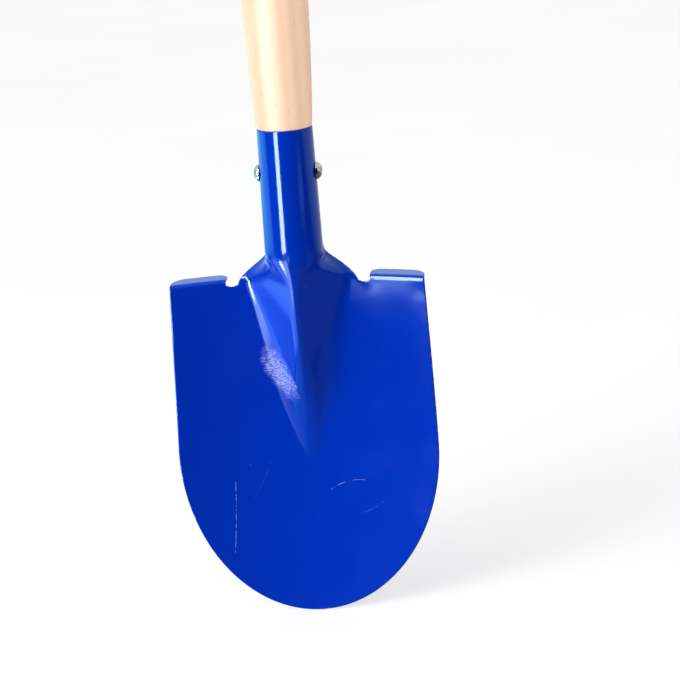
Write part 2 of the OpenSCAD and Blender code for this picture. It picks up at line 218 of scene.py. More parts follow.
def section_length(z, x):
    """Length along a blade section from its crest out to a half-width."""
    r1, phi, flank, r2, _ = section(z, 0 * z)
    x = np.abs(x)
    crest_x = r1 * np.sin(phi)
    flank_x = crest_x + flank * np.cos(phi)
    foot_x = flank_x + r2 * np.sin(phi)
    on_crest = r1 * np.arcsin(np.minimum(1, x / r1))
    on_flank = r1 * phi + (x - crest_x) / np.cos(phi)
    on_foot = r1 * phi + flank + r2 * (phi - np.arcsin(np.clip((foot_x - x) / r2, 0, 1)))
    on_wing = (r1 + r2) * phi + flank + x - foot_x
    outer = np.where(x < foot_x, on_foot, on_wing)
    return np.where(x < crest_x, on_crest, np.where(x < flank_x, on_flank, outer))


def spread_at(z, share=1.0):
    """How far the neck has closed at a level, later towards the crest than at the edge."""
    rise = FLANK_RISE * (1 - share)
    return np.clip((z - FOOT_Z - rise) / (NECK_H - rise), 0, 1)


def sheet_point(z, length, spread):
    x, back = section_point(section(z, spread), length)
    flat = 1 - smooth(spread)
    y = crest_y(z) + back + (blade_y(z) - crest_y(z) - frog_h(z)) * flat
    return np.stack([x, y - DISH * flat * x ** 2, z + 0 * x], axis=-1)


def blade_point(x, z):
    return sheet_point(z, np.sign(x) * section_length(z, x), 0 * z)


def neck_point(length, z):
    share = np.minimum(1, np.abs(length) / edge_length(z))
    return sheet_point(z, length, spread_at(z, share))


def tread_point(x, length):
    a = np.clip(length / FOLD_R, 0, np.pi / 2)
    ledge = np.maximum(0, length - FOLD_L)
    y = BLADE_SET - DISH * x ** 2 + FOLD_R * (1 - np.cos(a)) + ledge
    z = FOLD_Z + FOLD_R * np.sin(a) + np.minimum(0, length)
    return np.stack([x + 0 * length, y, z + 0 * x], axis=-1)


FOOT_LEVEL = np.array(float(FOOT_Z))
NECK_EDGE = section_length(FOOT_LEVEL, np.array(NECK_W / 2))
FOOT_R1, FOOT_PHI, FOOT_FLANK, FOOT_R2 = frog_shape(FOOT_LEVEL)
NECK_FLAT = NECK_EDGE - (FOOT_R1 + FOOT_R2) * FOOT_PHI - FOOT_FLANK


def edge_length(z):
    """Free edge of the neck and socket, as a length from the crest."""
    spread = spread_at(z)
    r1, phi, flank, r2, beta = section(z, spread)
    rise = np.clip((z - NECK_Z) / (RIM_Z - NECK_Z), 0, 1)
    wrap = mix(NECK_WRAP, RIM_WRAP, 1 - (1 - rise) ** 2)
    opened = r1 * phi + flank + r2 * (phi - beta) + NECK_FLAT * (1 - spread) ** NECK_FLAT_POWER
    return np.where(spread >= 1, r1 * wrap, opened)


def normals(point, a, b):
    """Forward-facing normals of a surface given by a function of two lengths."""
    across = point(a + SLOPE_STEP, b) - point(a - SLOPE_STEP, b)
    along = point(a, b + SLOPE_STEP) - point(a, b - SLOPE_STEP)
    n = np.cross(across, along)
    return n / np.linalg.norm(n, axis=-1, keepdims=True)


def side_shares():
    """Columns of the sheet, as shares of the blade section's length from -1 to 1."""
    edge = section_length(FOOT_LEVEL, half_width(FOOT_LEVEL))
    neck = NECK_EDGE / edge
    notch = section_length(FOOT_LEVEL, np.array(TREAD_X)) / edge
    shares = np.concatenate([
        np.linspace(0, neck, NECK_CELLS + 1),
        np.linspace(neck, notch, NOTCH_CELLS + 1)[1:],
        np.linspace(notch, 1, WING_CELLS + 1)[1:],
    ])
    return np.concatenate([-shares[:0:-1], shares])


def upper_patch():
    """Blade from its widest level up to the neck and the treads."""
    k = np.abs(np.arange(-SIDE_CELLS, SIDE_CELLS + 1))
    dip = NOTCH_D * np.sin(np.pi * np.clip((k - NECK_CELLS) / NOTCH_CELLS, 0, 1))
    level = np.linspace(0, 1, UPPER_ROWS + 1)[:, None]
    z = mix(WIDE_Z, FOOT_Z, level) - dip * level ** NOTCH_POWER
    edge = section_length(z, half_width(z))
    x, _ = section_point(section(z, 0 * z), side_shares() * edge)
    return blade_point(x, z), normals(blade_point, x, z)


def lower_patch(row_x):
    """Rounded lower blade, as rings from the outline in to the middle of its top."""
    rho = row_x / HALF_W
    phi = np.linspace(np.pi / 2, -np.pi / 2, POLAR_STEPS + 1)[:, None]
    x = HALF_W * rho * np.sin(phi)
    z = WIDE_Z - POINT_H * rho * np.cos(phi)
    return blade_point(x, z), normals(blade_point, x, z)


def neck_patch():
    z = np.concatenate([
        np.linspace(FOOT_Z, NECK_Z, FLARE_ROWS + 1),
        np.linspace(NECK_Z, RIM_Z, SOCKET_ROWS + 1)[1:],
    ])[:, None]
    length = np.linspace(-1, 1, 2 * NECK_CELLS + 1) * edge_length(z)
    z = z + 0 * length
    return neck_point(length, z), normals(neck_point, length, z)


def tread_patch(side):
    """Fold and ledge of one foot tread, with its back corners drawn in round."""
    run = np.linspace(0, 1, LEDGE_ROWS + 1)[1:]
    length = np.concatenate([
        [-NECK_DROP],
        np.linspace(0, FOLD_L, FOLD_ROWS + 1),
        FOLD_L + LEDGE_L * (1 - (1 - run) ** 2),
    ])[:, None]
    past = np.maximum(0, length - FOLD_L - LEDGE_L + TREAD_CORNER_R)
    inset = TREAD_CORNER_R - np.sqrt(np.maximum(0, TREAD_CORNER_R ** 2 - past ** 2))
    level = np.array(float(FOLD_Z))
    edge = section_length(level, half_width(level))
    shares = side_shares()[-WING_CELLS - 1:]
    x, _ = section_point(section(level, 0 * level), shares * edge)
    outer = half_width(level)
    share = (x - TREAD_X) / (outer - TREAD_X)
    x = side * mix(TREAD_X + inset, outer - inset, share)
    points, turned = tread_point(x, length), normals(tread_point, x, length)
    return (points, turned) if side > 0 else (points[:, ::-1], turned[:, ::-1])


# Small dents of the pressing: where the notches and the folds end, and a faint
# waviness of the whole blade. Each is x, z, radius and depth, on both sides.
DENTS = [
    (TREAD_X + 1, FOOT_Z - 1, 3.5, 0.14),
    (HALF_W - 4, FOOT_Z - 4, 4.5, 0.16),
]
WAVE_DEPTH, WAVE_LENGTH, WAVE_STRETCH, WAVE_START = 0.05, 37, 1.4, 1.3


def dent_depth(x, z):
    depth = 0 * x
    for dent_x, dent_z, radius, deep in DENTS:
        for side in (-1, 1):
            away = ((x - side * dent_x) ** 2 + (z - dent_z) ** 2) / radius ** 2
            depth = depth + deep * np.exp(-away)
    wave_x = np.sin(2 * np.pi * x / WAVE_LENGTH + WAVE_START)
    wave_z = np.sin(2 * np.pi * z / WAVE_LENGTH / WAVE_STRETCH)
    return depth + WAVE_DEPTH * wave_x * wave_z * np.clip((RIM_Z - z) / RIM_Z, 0, 1)


class Sheet:
    """Points and normals in the middle of the sheet, with the cells between them."""

    def __init__(self):
        self.points = []
        self.normals = []
        self.count = 0
        self.faces = []

    def add(self, points, turned):
        index = self.count + np.arange(points.shape[0] * points.shape[1])
        self.points.append(points.reshape(-1, 3))
        self.normals.append(turned.reshape(-1, 3))
        self.count += len(index)
        return index.reshape(points.shape[:2])

    def cells(self, index, turned=False):
        corners = [index[:-1, :-1], index[:-1, 1:], index[1:, 1:], index[1:, :-1]]
        if turned:
            corners.reverse()
        for quad in np.stack(corners, axis=-1).reshape(-1, 4).tolist():
            self.faces.append([c for n, c in enumerate(quad) if c != quad[n - 1]])


def steel_sheet():
    sheet = Sheet()
    points, turned = upper_patch()
    upper = sheet.add(points, turned)
    sheet.cells(upper)

    points, turned = lower_patch(points[0, SIDE_CELLS:, 0])
    lower = np.zeros(points.shape[:2], int)
    lower[1:-1, 1:] = sheet.add(points[1:-1, 1:], turned[1:-1, 1:])
    lower[0] = upper[0, SIDE_CELLS:]
    lower[-1] = upper[0, SIDE_CELLS::-1]
    lower[:, 0] = upper[0, SIDE_CELLS]
    sheet.cells(lower, turned=True)

    points, turned = neck_patch()
    neck_columns = upper[-1, SIDE_CELLS - NECK_CELLS:SIDE_CELLS + NECK_CELLS + 1]
    sheet.cells(np.vstack([neck_columns, sheet.add(points[1:], turned[1:])]))

    for side in (-1, 1):
        points, turned = tread_patch(side)
        wing = upper[-1, :WING_CELLS + 1] if side < 0 else upper[-1, -WING_CELLS - 1:]
        sheet.cells(np.vstack([wing, sheet.add(points[1:], turned[1:])]))
    return np.concatenate(sheet.points), np.concatenate(sheet.normals), sheet.faces


def new_object(name, points, faces):
    data = bpy.data.meshes.new(name)
    data.from_pydata((np.asarray(points) * MM).tolist(), [], faces)
    data.update()
    piece = bpy.data.objects.new(name, data)
    bpy.context.scene.collection.objects.link(piece)
    return piece


def apply_modifiers(piece):
    graph = bpy.context.evaluated_depsgraph_get()
    made = bpy.data.meshes.new_from_object(piece.evaluated_get(graph))
    piece.modifiers.clear()
    old, piece.data = piece.data, made
    bpy.data.meshes.remove(old)
    made.name = piece.name


def make_head():
    points, turned, faces = steel_sheet()
    depth = dent_depth(points[:, 0], points[:, 2])
    points = points + depth[:, None] * np.array([0, 1, 0])
    layer = len(points)
    walls, rim = [], []
    directed = {(f[n - 1], f[n]) for f in faces for n in range(len(f))}
    for a, b in directed:
        if (b, a) not in directed:
            walls.append([b, a, a + layer, b + layer])
            rim.append((a, b))
            rim.append((a + layer, b + layer))
    back = [[c + layer for c in reversed(f)] for f in faces]
    shell = np.concatenate([points + turned * SHEET_T / 2, points - turned * SHEET_T / 2])
    piece = new_object("steel_head", shell, faces + back + walls)
    round_edges(piece, rim, SHEET_EDGE_R)
    add_edge_distance(piece, points[sorted({a for a, _ in rim if a < layer})])
    return piece


def round_edges(piece, edges, radius):
    marked = {tuple(sorted(e)) for e in edges}
    weights = piece.data.attributes.new("bevel_weight_edge", "FLOAT", "EDGE")
    for edge in piece.data.edges:
        weights.data[edge.index].value = float(tuple(sorted(edge.vertices)) in marked)
    bevel = piece.modifiers.new("edges", "BEVEL")
    bevel.limit_method = "WEIGHT"
    bevel.width = radius * MM
    bevel.segments = SHEET_EDGE_STEPS
    bevel.use_clamp_overlap = False
    apply_modifiers(piece)
    piece.data.shade_smooth()
    piece.modifiers.new("shading", "WEIGHTED_NORMAL").weight = SHADING_WEIGHT


def add_edge_distance(piece, rim_points):
    """Stores each point's distance from the sheet's free edge, in millimetres."""
    tree = kdtree.KDTree(len(rim_points))
    for n, p in enumerate(rim_points * MM):
        tree.insert(p, n)
    tree.balance()
    away = piece.data.attributes.new("edge_mm", "FLOAT", "POINT")
    values = [tree.find(v.co)[2] / MM for v in piece.data.vertices]
    away.data.foreach_set("value", values)


# Turned pieces: an outline of radius and height about an axis
def turned_piece(name, outline, axis="Z", centre=(0, 0, 0), sides=TURNED_SIDES):
    angles = np.linspace(0, 2 * np.pi, sides, endpoint=False)
    rings = [(r, h) for r, h in outline if r > 0]
    points = [[r * math.cos(a), r * math.sin(a), h] for r, h in rings for a in angles]
    faces = []
    for ring in range(len(rings) - 1):
        for n in range(sides):
            a, b = ring * sides + n, ring * sides + (n + 1) % sides
            faces.append([a, b, b + sides, a + sides])
    low, high = len(points), len(points) + 1
    points += [[0, 0, outline[0][1]], [0, 0, outline[-1][1]]]
    top = (len(rings) - 1) * sides
    for n in range(sides):
        after = (n + 1) % sides
        faces.append([low, after, n])
        faces.append([high, top + n, top + after])
    points = np.array(points)
    if axis == "X":
        points = points[:, [2, 0, 1]]
    if axis == "Y":
        points = points[:, [1, 2, 0]]
    piece = new_object(name, points + np.array(centre), faces)
    return piece


def combine(piece, other, operation):
    """Cuts the other piece from a piece, joins it or keeps what they share."""
    change = piece.modifiers.new("change", "BOOLEAN")
    change.operation = operation
    change.solver = "EXACT"
    change.object = other
    apply_modifiers(piece)
    bpy.data.objects.remove(other)


def smooth_by_angle(piece, degrees=35):
    piece.data.shade_smooth()
    piece.data.set_sharp_from_angle(angle=math.radians(degrees))


def round_corner(r, h, radius, low, steps):
    """Quarter round at the outer corner (r, h) of an outline, below or above its wall."""
    side = 1 if low else -1
    angles = [math.pi / 2 * n / steps for n in range(steps + 1)]
    if not low:
        angles.reverse()
    return [
        (r - radius * (1 - math.sin(a)), h + side * radius * (1 - math.cos(a)))
        for a in angles
    ]


def make_shaft():
    tenon_r = SOCKET_D / 2 - SHEET_T - TENON_GAP
    shoulder_z = RIM_Z + FIT_GAP
    low_z = RIM_Z - TENON_L
    steps = np.linspace(0, 1, TAPER_STEPS + 1)
    taper = [(mix(SHAFT_D / 2, SOCKET_D / 2, (1 - t) ** 2), shoulder_z + TAPER_L * t) for t in steps]
    outline = [(0, low_z), (TENON_LOW_D / 2 - TENON_CHAMFER, low_z)]
    outline += [(TENON_LOW_D / 2, low_z + TENON_CHAMFER), (tenon_r, shoulder_z - TENON_STEP)]
    outline += round_corner(SOCKET_D / 2, shoulder_z, SHOULDER_R, True, SHOULDER_STEPS)
    outline += [p for p in taper if p[1] > shoulder_z + SHOULDER_H]
    straight = np.linspace(shoulder_z + TAPER_L, SEAT_Z, SHAFT_STEPS + 1)[1:]
    outline += [(SHAFT_D / 2, z) for z in straight] + [(0, SEAT_Z)]
    piece = turned_piece("wooden_shaft", outline)
    tenon = turned_piece("tenon", [
        (0, SEAT_Z - CUT_OVER), (GRIP_TENON_D / 2, SEAT_Z - CUT_OVER),
        (GRIP_TENON_D / 2, TOTAL_H + CUT_OVER), (0, TOTAL_H + CUT_OVER),
    ])
    combine(tenon, grip_cylinder("limit", GRIP_D / 2), "INTERSECT")
    combine(piece, tenon, "UNION")
    combine(piece, rivet_cutter(), "DIFFERENCE")
    combine(piece, dowel_cylinder("hole", DOWEL_D / 2 + FIT_GAP), "DIFFERENCE")
    smooth_by_angle(piece)
    return piece


def grip_cylinder(name, radius):
    half = GRIP_L / 2
    outline = [(0, -half), (radius, -half), (radius, half), (0, half)]
    return turned_piece(name, outline, "X", (0, 0, GRIP_Z))


def dowel_cylinder(name, radius):
    outline = [(0, -GRIP_D), (radius, -GRIP_D), (radius, GRIP_D), (0, GRIP_D)]
    return turned_piece(name, outline, "Y", (0, 0, GRIP_Z), SMALL_HOLE_SIDES)


def rivet_cutter():
    radius = RIVET_D / 2 + FIT_GAP
    outline = [(0, -SOCKET_D), (radius, -SOCKET_D), (radius, SOCKET_D), (0, SOCKET_D)]
    return turned_piece("cutter", outline, "X", (0, 0, RIVET_Z), SMALL_HOLE_SIDES)


def make_grip():
    half = GRIP_L / 2
    outline = [(0, -half)] + round_corner(GRIP_D / 2, -half, GRIP_EDGE_R, True, GRIP_EDGE_STEPS)
    levels = np.linspace(-half, half, GRIP_STEPS)[GRIP_END_STEPS:-GRIP_END_STEPS]
    outline += [(GRIP_D / 2, x) for x in levels]
    outline += round_corner(GRIP_D / 2, half, GRIP_EDGE_R, False, GRIP_EDGE_STEPS) + [(0, half)]
    piece = turned_piece("grip", outline, "X", (0, 0, GRIP_Z))
    pocket_r, hole_r = SHAFT_D / 2 + FIT_GAP, GRIP_TENON_D / 2 + FIT_GAP
    seat_z, deep_z, high_z = SEAT_Z + FIT_GAP, SEAT_Z - GRIP_D, TOTAL_H + GRIP_D
    combine(piece, turned_piece("pocket", [
        (0, deep_z), (pocket_r, deep_z), (pocket_r, seat_z), (hole_r, seat_z + POCKET_STEP),
        (hole_r, high_z), (0, high_z),
    ]), "DIFFERENCE")
    combine(piece, dowel_cylinder("hole", DOWEL_D / 2 + FIT_GAP), "DIFFERENCE")
    smooth_by_angle(piece)
    return piece


def make_dowel():
    piece = dowel_cylinder("dowel", DOWEL_D / 2)
    combine(piece, grip_cylinder("limit", GRIP_D / 2), "INTERSECT")
    smooth_by_angle(piece)
    return piece


def make_rivet():
    seat = float(crest_r(np.array(float(RIVET_Z)))) + SHEET_T / 2 + FIT_GAP / 2
    head_r = RIVET_HEAD_D / 2

    def dome(a, side):
        return (head_r * math.sin(a), side * (seat + RIVET_HEAD_H * math.cos(a)))

    angles = [math.radians(a) for a in np.linspace(0, 90, RIVET_STEPS + 1)]
    outline = [dome(a, -1) for a in angles] + [(RIVET_D / 2, -seat), (RIVET_D / 2, seat)]
    outline += [dome(a, 1) for a in reversed(angles)]
    piece = turned_piece("rivet", outline, "X", (0, 0, RIVET_Z), RIVET_SIDES)
    smooth_by_angle(piece, 50)
    return piece


# Helpers that build material nodes
def add(tree, kind, feeds=None, **settings):
    made = tree.nodes.new(kind)
    for name, value in settings.items():
        setattr(made, name, value)
    for key, value in (feeds or {}).items():
        if isinstance(value, bpy.types.NodeSocket):
            tree.links.new(value, made.inputs[key])
        else:
            made.inputs[key].default_value = value
    return made


def maths(tree, operation, a, b=0.0, c=0.0):
    return add(tree, "ShaderNodeMath", {0: a, 1: b, 2: c}, operation=operation).outputs[0]


def between(tree, value, low, high, to_low=0.0, to_high=1.0):
    """Smooth step of a value from one range to another."""
    feeds = {"Value": value, "From Min": low, "From Max": high, "To Min": to_low, "To Max": to_high}
    made = add(tree, "ShaderNodeMapRange", feeds, interpolation_type="SMOOTHSTEP")
    return made.outputs["Result"]


def blend_colour(tree, share, a, b):
    made = add(tree, "ShaderNodeMix", {0: share}, data_type="RGBA")
    for index, value in ((6, a), (7, b)):
        if isinstance(value, bpy.types.NodeSocket):
            tree.links.new(value, made.inputs[index])
        else:
            made.inputs[index].default_value = value
    return made.outputs[2]


def noise(tree, vector, scale, detail=2.0, roughness=0.5):
    feeds = {"Vector": vector, "Scale": scale, "Detail": detail, "Roughness": roughness}
    return add(tree, "ShaderNodeTexNoise", feeds).outputs["Fac"]


def stretched(tree, vector, scale):
    return add(tree, "ShaderNodeMapping", {"Vector": vector, "Scale": scale}).outputs[0]


def srgb(red, green, blue):
    """Colour written as 0 to 255 values of a picture, as the shader needs it."""
    linear = [
        c / 12.92 if c <= 0.04045 else ((c + 0.055) / 1.055) ** 2.4
        for c in (red / 255, green / 255, blue / 255)
    ]
    return (*linear, 1.0)


def new_material(name):
    made = bpy.data.materials.new(name)
    made.use_nodes = True
    tree = made.node_tree
    shader = tree.nodes["Principled BSDF"]
    place = tree.nodes.new("ShaderNodeTexCoord").outputs["Object"]
    return made, tree, shader, place


def feed(tree, shader, values):
    for key, value in values.items():
        if isinstance(value, bpy.types.NodeSocket):
            tree.links.new(value, shader.inputs[key])
        else:
            shader.inputs[key].default_value = value


def bump(tree, height, distance, strength=1.0, normal=None):
    feeds = {"Height": height, "Distance": distance, "Strength": strength}
    if normal is not None:
        feeds["Normal"] = normal
    return add(tree, "ShaderNodeBump", feeds).outputs[0]


# Colours of the pieces, as 0 to 255 values of a picture
PAINT_DEEP, PAINT_BRIGHT = (0, 49, 186), (0, 53, 194)
# The pale colour is that of scratches and sand specks, and on the rubbed patch also a painted highlight
PAINT_PALE_AND_HIGHLIGHT, WORN_STEEL = (176, 186, 246), (150, 152, 158)
SHAFT_PALE, SHAFT_DARK = (248, 209, 179), (236, 194, 160)
GRIP_PALE, GRIP_DARK = (247, 208, 178), (234, 192, 158)
DOWEL_PALE, DOWEL_DARK, WOOD_FLECK = (222, 190, 150), (186, 146, 104), (196, 150, 104)
RIVET_BRIGHT, RIVET_DULL = (214, 206, 196), (168, 152, 132)
PAINT_GLOSS_TINT = (0.38, 0.85, 1.0, 1.0)

# Scratches of the blade's front: start and end in x and z, and how far the middle
# bows out, in millimetres, with width and strength
SCRATCHES = [
    (-34.9, 61, -36.9, 27.8, 0.3, 0.22, 0.9),
    (8.2, 54.3, 24.8, 59.1, 1.6, 0.18, 0.75),
    (22, 44, 33, 50, -0.8, 0.12, 0.3),
    (-18, 70, -27, 52, 0.6, 0.1, 0.25),
]


def turned_axes(tree, dx, dz, ux, uz):
    """Lengths along and across a direction in the plane of x and z."""
    along = maths(tree, "ADD", maths(tree, "MULTIPLY", dx, ux), maths(tree, "MULTIPLY", dz, uz))
    across = maths(tree, "SUBTRACT", maths(tree, "MULTIPLY", dz, ux), maths(tree, "MULTIPLY", dx, uz))
    return along, across


def scratch_mask(tree, x, z, wobble, scratch):
    x0, z0, x1, z1, bow, width, strength = scratch
    length = math.hypot(x1 - x0, z1 - z0)
    ux, uz = (x1 - x0) / length, (z1 - z0) / length
    dx = maths(tree, "SUBTRACT", x, x0 * MM)
    dz = maths(tree, "SUBTRACT", z, z0 * MM)
    along, aside = turned_axes(tree, dx, dz, ux, uz)
    share = maths(tree, "DIVIDE", along, length * MM)
    left = maths(tree, "SUBTRACT", 1.0, share)
    arc = maths(tree, "MULTIPLY", maths(tree, "MULTIPLY", share, left), 4 * bow * MM)
    off = maths(tree, "ABSOLUTE", maths(tree, "ADD", maths(tree, "SUBTRACT", aside, arc), wobble))
    line = between(tree, off, width * MM / 2, width * MM * 0.15)
    ends = between(tree, maths(tree, "MULTIPLY", share, left), 0.0, 0.03)
    return maths(tree, "MULTIPLY", maths(tree, "MULTIPLY", line, ends), strength)


# Rubbed patch on the left flank of the frog, worn pale with a painted highlight: its middle x and z,
# its long and short half-width in millimetres, the lean of its long axis, and its strength
RUB_HIGHLIGHT_X, RUB_HIGHLIGHT_Z, RUB_HIGHLIGHT_LONG, RUB_HIGHLIGHT_SHORT, RUB_HIGHLIGHT_LEAN, RUB_HIGHLIGHT_STRENGTH = -11.5, 110.5, 15, 6, math.radians(27), 0.9


# Mask of the rubbed patch, where the pale colour is worn paint and a painted highlight together
def rub_and_highlight_mask(tree, place, xyz):
    dx = maths(tree, "SUBTRACT", xyz["X"], RUB_HIGHLIGHT_X * MM)
    dz = maths(tree, "SUBTRACT", xyz["Z"], RUB_HIGHLIGHT_Z * MM)
    across, along = turned_axes(tree, dx, dz, math.cos(RUB_HIGHLIGHT_LEAN), math.sin(RUB_HIGHLIGHT_LEAN))
    along = maths(tree, "DIVIDE", along, RUB_HIGHLIGHT_LONG * MM)
    across = maths(tree, "DIVIDE", across, RUB_HIGHLIGHT_SHORT * MM)
    far = maths(tree, "MULTIPLY_ADD", along, along, maths(tree, "MULTIPLY", across, across))
    ragged = maths(tree, "MULTIPLY_ADD", noise(tree, place, 260.0, 3.0, 0.6), 1.4, -0.7)
    patch = between(tree, maths(tree, "ADD", far, ragged), 1.1, 0.1)
    lines = noise(tree, stretched(tree, place, (900.0, 900.0, 2600.0)), 1.0, 3.0, 0.6)
    hair = between(tree, lines, 0.33, 0.66)
    return maths(tree, "MULTIPLY", patch, hair)


def paint_material():
    made, tree, shader, place = new_material("blue_paint")
    xyz = add(tree, "ShaderNodeSeparateXYZ", {0: place}).outputs
    away = add(tree, "ShaderNodeAttribute", attribute_name="edge_mm").outputs["Fac"]

    broad = noise(tree, place, 14.0, 3.0)
    colour = blend_colour(tree, broad, srgb(*PAINT_DEEP), srgb(*PAINT_BRIGHT))

    wobble = maths(tree, "MULTIPLY", maths(tree, "SUBTRACT", noise(tree, place, 160.0), 0.5), 0.4 * MM)
    marks = 0.0
    for scratch in SCRATCHES:
        marks = maths(tree, "MAXIMUM", marks, scratch_mask(tree, xyz["X"], xyz["Z"], wobble, scratch))
    broken = between(tree, noise(tree, place, 700.0, 2.0), 0.35, 0.55)
    marks = maths(tree, "MULTIPLY", marks, broken)
    facing = add(tree, "ShaderNodeTexCoord").outputs["Normal"]
    facing_y = add(tree, "ShaderNodeSeparateXYZ", {0: facing}).outputs["Y"]
    front = between(tree, facing_y, 0.1, -0.1)
    marks = maths(tree, "MULTIPLY", marks, front)

    speck_cells = add(tree, "ShaderNodeTexVoronoi", {"Vector": place, "Scale": 190.0, "Randomness": 1.0})
    speck = between(tree, speck_cells.outputs["Distance"], 0.085, 0.04)
    few = between(tree, noise(tree, place, 55.0, 2.0), 0.56, 0.66)
    specks = maths(tree, "MULTIPLY", maths(tree, "MULTIPLY", speck, few), 0.28)

    # The rubbed patch paints a highlight into the base colour, on top of its wear
    rub_and_highlight = maths(tree, "MULTIPLY", rub_and_highlight_mask(tree, place, xyz), front)
    pale = maths(tree, "MAXIMUM", marks, specks)
    pale = maths(tree, "MAXIMUM", pale, maths(tree, "MULTIPLY", rub_and_highlight, RUB_HIGHLIGHT_STRENGTH))
    colour = blend_colour(tree, pale, colour, srgb(*PAINT_PALE_AND_HIGHLIGHT))

    chips = noise(tree, place, 420.0, 3.0, 0.6)
    near = between(tree, away, 1.1, 0.35)
    worn = between(tree, maths(tree, "ADD", maths(tree, "MULTIPLY", near, 0.42), chips), 0.93, 1.0)
    colour = blend_colour(tree, worn, colour, srgb(*WORN_STEEL))

    patches = between(tree, noise(tree, place, 38.0, 4.0, 0.6), 0.42, 0.7)
    rubbed = noise(tree, stretched(tree, place, (900.0, 900.0, 260.0)), 1.0, 3.0, 0.6)
    rough = maths(tree, "MULTIPLY_ADD", patches, 0.05, 0.09)
    rough = maths(tree, "MAXIMUM", rough, maths(tree, "MULTIPLY", pale, 0.6))
    rough = maths(tree, "MAXIMUM", rough, maths(tree, "MULTIPLY", worn, 0.38))

    peel = noise(tree, place, 620.0, 2.0)
    relief = bump(tree, peel, 0.012 * MM, 0.6)
    relief = bump(tree, rubbed, 0.004 * MM, 0.35, relief)
    unworn = maths(tree, "SUBTRACT", 1.0, maths(tree, "MAXIMUM", marks, worn))
    relief = bump(tree, unworn, 0.05 * MM, 0.5, relief)
    feed(tree, shader, {
        "Base Color": colour,
        "Roughness": rough,
        "Metallic": worn,
        "Normal": relief,
        "Specular IOR Level": 0.5,
        "Specular Tint": PAINT_GLOSS_TINT,
    })
    return made


def wood_material(name, axis, pale, dark, fibre_shift=0.0):
    """Beech: faint rings round a heart outside the piece, fine fibres and short flecks along it."""
    made, tree, shader, place = new_material(name)
    fine, coarse = 1.0, 0.012
    scale = [fine, fine, fine]
    scale["XYZ".index(axis)] = coarse
    along = stretched(tree, place, tuple(scale))
    bent = add(tree, "ShaderNodeVectorMath", {0: along, 1: (0.031 + fibre_shift, 0.017, 0.023)})
    warp = noise(tree, along, 30.0, 2.0)
    heart = add(tree, "ShaderNodeVectorMath", {0: bent.outputs[0]}, operation="LENGTH").outputs["Value"]
    phase = maths(tree, "MULTIPLY_ADD", heart, 1500.0, maths(tree, "MULTIPLY", warp, 9.0))
    rings = maths(tree, "SINE", phase)
    ring = between(tree, rings, -1.0, 1.0, 0.0, 0.3)
    fibres = noise(tree, along, 2600.0, 3.0, 0.6)
    fleck_place = stretched(tree, place, tuple(0.09 if s == coarse else 1.0 for s in scale))
    flecks = between(tree, noise(tree, fleck_place, 1500.0, 1.0), 0.66, 0.74)
    broad = noise(tree, place, 9.0, 2.0)
    share = maths(tree, "MULTIPLY_ADD", fibres, 0.35, ring)
    share = maths(tree, "MULTIPLY_ADD", broad, 0.25, share)
    colour = blend_colour(tree, between(tree, share, 0.2, 0.95), pale, dark)
    colour = blend_colour(tree, maths(tree, "MULTIPLY", flecks, 0.35), colour, srgb(*WOOD_FLECK))
    relief = bump(tree, fibres, 0.02 * MM, 0.35)
    rough = maths(tree, "MULTIPLY_ADD", fibres, 0.18, 0.42)
    feed(tree, shader, {"Base Color": colour, "Roughness": rough, "Normal": relief})
    return made


def metal_material():
    made, tree, shader, place = new_material("rivet_steel")
    spots = noise(tree, place, 900.0, 3.0, 0.6)
    dull = between(tree, spots, 0.4, 0.75)
    colour = blend_colour(tree, dull, srgb(*RIVET_BRIGHT), srgb(*RIVET_DULL))
    rough = maths(tree, "MULTIPLY_ADD", spots, 0.16, 0.08)
    relief = bump(tree, noise(tree, place, 1400.0, 2.0), 0.02 * MM, 0.4)
    feed(tree, shader, {"Base Color": colour, "Metallic": 1.0, "Roughness": rough, "Normal": relief})
    return made


def paint_over(piece, material):
    piece.data.materials.clear()
    piece.data.materials.append(material)


def place_piece(piece, node, material):
    paint_over(piece, material)
    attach(piece, "root")
    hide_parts(node)


# Studio: a pale floor under a white surround, a broad soft sun and a key lamp on the
# left, a fill for the wood, and a dark card that keeps the gloss deep in front
WHITE = (1.0, 1.0, 1.0, 1.0)
SQUARE = ((-1, -1), (1, -1), (1, 1), (-1, 1))
FLOOR_HALF, FLOOR_TONE, FLOOR_SPREAD, FLOOR_GLOW = 15.0, 0.5, 0.01, 0.6
DARK_START, DARK_END, DARK_H, DARK_TONES = (-1.1, -1.5), (2, -1.5), 1.6, (0.004, 0.008)
AMBIENT, GLOSS_SKY = 0.54, (0.72, 0.9, 1.0, 1.0)
SUN_AZIMUTH, SUN_ELEVATION, SUN_LEVEL, SUN_SOFTNESS = -62, 24, 0.42, 30
KEY_PLACE, KEY_TARGET, KEY_SIZE, KEY_POWER = (-0.72, -0.7, 0.62), (0, 0, 0.2), 0.5, 5.3
FILL_PLACE, FILL_TARGET, FILL_SIZE, FILL_POWER = (0.75, -0.55, 0.45), (0, 0, 0.4), 0.6, 4.3

# Lamps that show in the gloss only: place, target, width, height, brightness and colour
STRIP = ((-0.18, -0.292, 0.405), (0, -0.012, 0.405), 0.096, 0.69, 38.0, (1.0, 0.64, 0.62))
BACK_LIGHT = ((0, 2, 0.75), (0, 0, 0.75), 3.2, 1.2, 0.3, (0.62, 0.8, 1.0))


def shown_white(tree):
    """One for rays that show the surround: to the camera, in gloss and through glass."""
    path = add(tree, "ShaderNodeLightPath").outputs
    shown = maths(tree, "MAXIMUM", path["Is Camera Ray"], path["Is Glossy Ray"])
    return maths(tree, "MAXIMUM", shown, path["Is Transmission Ray"])


def stage_panel(name, corners, material, faces=None):
    data = bpy.data.meshes.new(name)
    data.from_pydata(corners, [], faces or [tuple(range(len(corners)))])
    panel = bpy.data.objects.new(name, data)
    bpy.context.scene.collection.objects.link(panel)
    paint_over(panel, material)
    return panel


